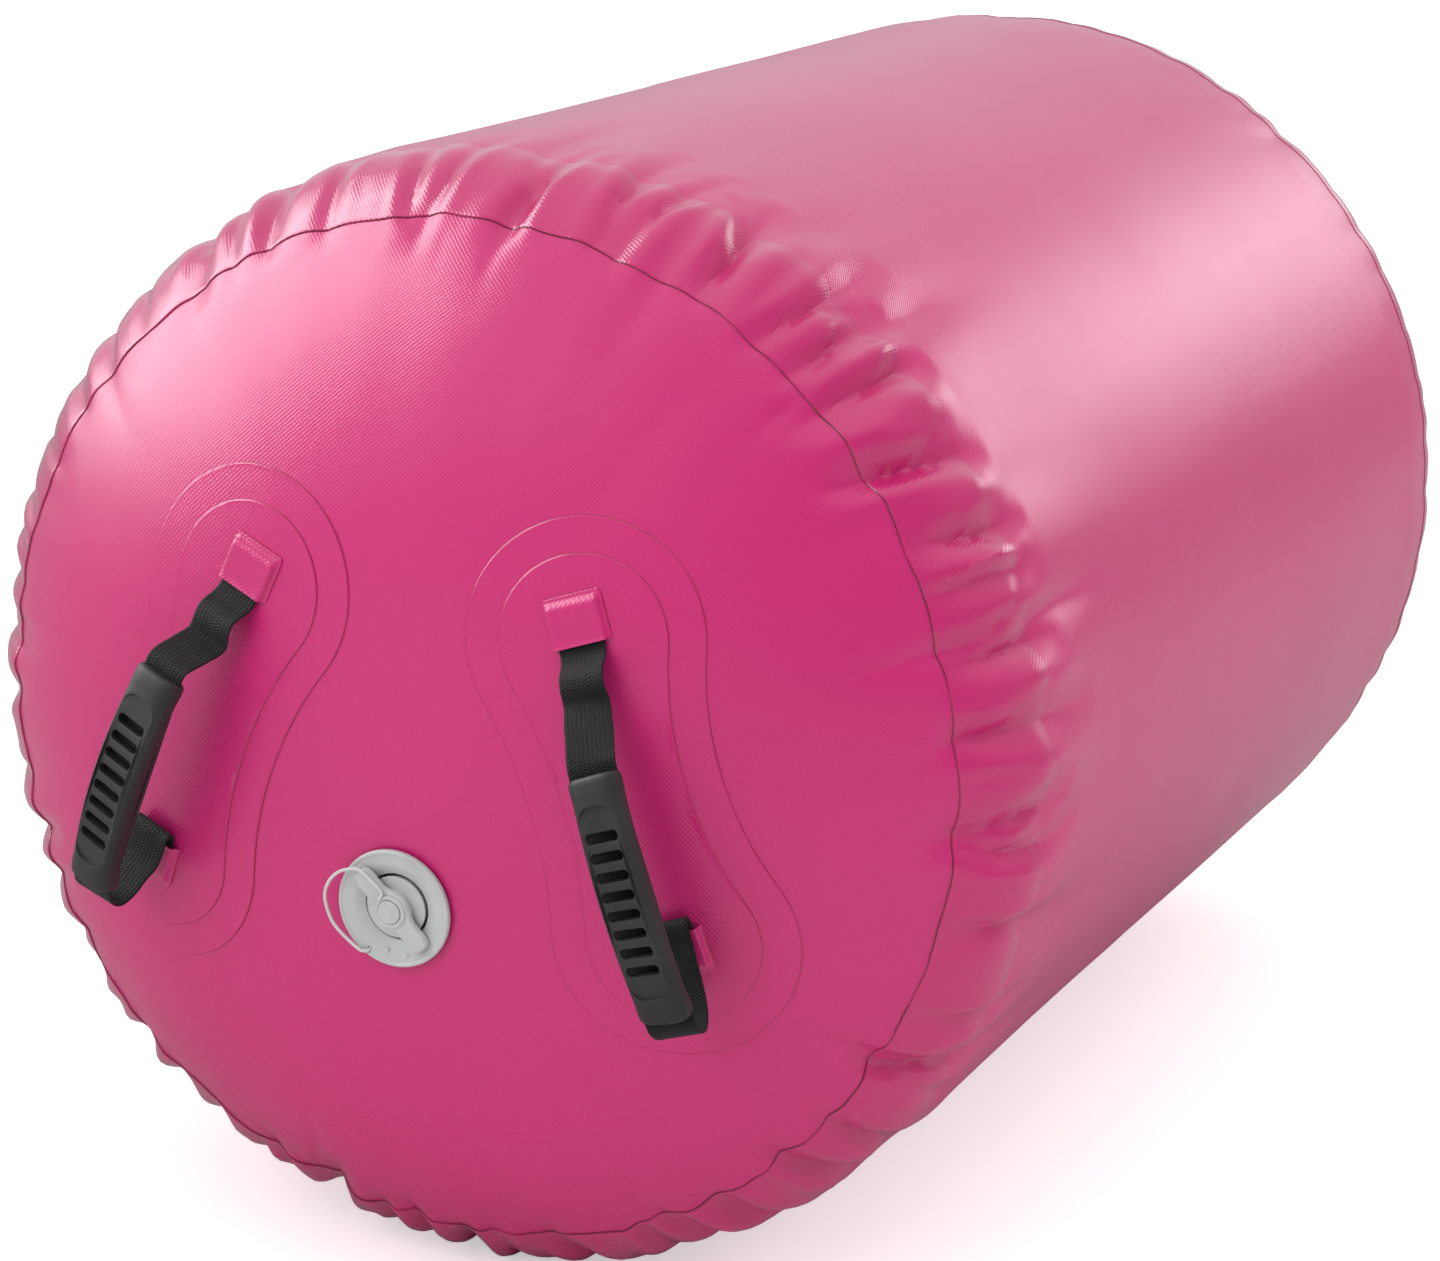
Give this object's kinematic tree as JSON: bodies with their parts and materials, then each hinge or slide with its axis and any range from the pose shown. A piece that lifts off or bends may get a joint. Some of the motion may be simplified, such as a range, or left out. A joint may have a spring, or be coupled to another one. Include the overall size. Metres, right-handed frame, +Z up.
{
  "type": "inflatable air barrel",
  "caption": "Inflatable tumbling air barrel: a coated-fabric cylinder with domed ends, webbing carry handles with moulded grips and an inflation valve with a twist cap.",
  "frame": {"origin": "middle of the flat strip the barrel rests on, at mid-length", "axes": "+Y along the barrel from the valve end to the far end, +Z up, +X to the right seen from the valve end"},
  "size_m": [0.6, 1.0966, 0.6],
  "materials": {
    "pvc_fabric": "semi-gloss PVC-coated woven polyester, pink",
    "pvc_tape": "semi-gloss PVC seam tape, pink",
    "webbing": "black woven polyester webbing",
    "grip_rubber": "matte moulded charcoal rubber",
    "valve_plastic": "satin light grey moulded plastic",
    "seal_rubber": "matte black rubber",
    "spring_steel": "drawn stainless wire",
    "tether_cord": "white plastic cord"
  },
  "bodies": {
    "barrel": {"barrel_wall": "pvc_fabric", "front_end_cap": "pvc_fabric", "rear_end_cap": "pvc_fabric", "valve_backing_patch": "pvc_fabric", "wall_seam_tape_outer": "pvc_tape", "wall_seam_tape_inner": "pvc_tape", "front_rim_tape_outer": "pvc_tape", "front_rim_tape_inner": "pvc_tape", "rear_rim_tape_outer": "pvc_tape", "rear_rim_tape_inner": "pvc_tape", "front_right_handle_base_patch": "pvc_fabric", "front_right_handle_top_patch": "pvc_fabric", "front_right_handle_upper_anchor_tab": "pvc_fabric", "front_right_handle_lower_anchor_tab": "pvc_fabric", "front_right_handle_upper_webbing_tail": "webbing", "front_right_handle_lower_webbing_tail": "webbing", "front_left_handle_base_patch": "pvc_fabric", "front_left_handle_top_patch": "pvc_fabric", "front_left_handle_upper_anchor_tab": "pvc_fabric", "front_left_handle_lower_anchor_tab": "pvc_fabric", "front_left_handle_upper_webbing_tail": "webbing", "front_left_handle_lower_webbing_tail": "webbing", "rear_right_handle_base_patch": "pvc_fabric", "rear_right_handle_top_patch": "pvc_fabric", "rear_right_handle_upper_anchor_tab": "pvc_fabric", "rear_right_handle_lower_anchor_tab": "pvc_fabric", "rear_right_handle_upper_webbing_tail": "webbing", "rear_right_handle_lower_webbing_tail": "webbing", "rear_left_handle_base_patch": "pvc_fabric", "rear_left_handle_top_patch": "pvc_fabric", "rear_left_handle_upper_anchor_tab": "pvc_fabric", "rear_left_handle_lower_anchor_tab": "pvc_fabric", "rear_left_handle_upper_webbing_tail": "webbing", "rear_left_handle_lower_webbing_tail": "webbing", "valve_body": "valve_plastic", "valve_back_nut": "valve_plastic", "valve_gasket": "seal_rubber", "valve_poppet_spring": "spring_steel"},
    "front_right_handle": {"front_right_handle_webbing_loop": "webbing", "front_right_handle_grip": "grip_rubber"},
    "front_left_handle": {"front_left_handle_webbing_loop": "webbing", "front_left_handle_grip": "grip_rubber"},
    "rear_right_handle": {"rear_right_handle_webbing_loop": "webbing", "rear_right_handle_grip": "grip_rubber"},
    "rear_left_handle": {"rear_left_handle_webbing_loop": "webbing", "rear_left_handle_grip": "grip_rubber"},
    "valve_poppet": {"valve_poppet_stem": "valve_plastic", "valve_poppet_seal": "seal_rubber"},
    "valve_tether": {"valve_tether_ring": "tether_cord", "valve_tether_cord": "tether_cord"},
    "valve_cap": {"valve_cap_knob": "valve_plastic", "valve_cap_seal": "seal_rubber"}
  },
  "joints": [
    {"name": "front_right_handle_swing", "type": "hinge", "parent": "barrel", "child": "front_right_handle", "pos_m": [0.09807, -0.50853, 0.38024], "axis": [0.3397, 0.0489, -0.9393], "range_deg": [-50, 50], "stiffness_Nm_per_rad": 0.3},
    {"name": "front_left_handle_swing", "type": "hinge", "parent": "barrel", "child": "front_left_handle", "pos_m": [-0.09807, -0.50853, 0.38024], "axis": [-0.3397, 0.0489, -0.9393], "range_deg": [-50, 50], "stiffness_Nm_per_rad": 0.3},
    {"name": "rear_right_handle_swing", "type": "hinge", "parent": "barrel", "child": "rear_right_handle", "pos_m": [-0.09807, 0.50853, 0.38024], "axis": [-0.3397, -0.0489, -0.9393], "range_deg": [-50, 50], "stiffness_Nm_per_rad": 0.3},
    {"name": "rear_left_handle_swing", "type": "hinge", "parent": "barrel", "child": "rear_left_handle", "pos_m": [0.09807, 0.50853, 0.38024], "axis": [0.3397, -0.0489, -0.9393], "range_deg": [-50, 50], "stiffness_Nm_per_rad": 0.3},
    {"name": "valve_poppet_press", "type": "slide", "parent": "barrel", "child": "valve_poppet", "axis": [0, 0.9976, 0.0698], "range_m": [0, 0.005], "stiffness_N_per_m": 400, "springref_m": -0.004, "deforming": ["valve_poppet_spring"]},
    {"name": "valve_cap_lift", "type": "slide", "parent": "barrel", "child": "valve_tether", "axis": [0, -0.9976, -0.0698], "range_m": [0, 0.008]},
    {"name": "valve_cap_turn", "type": "hinge", "parent": "valve_tether", "child": "valve_cap", "pos_m": [0, -0.49807, 0.229], "axis": [0, -0.9976, -0.0698], "range_deg": [0, 90]}
  ]
}
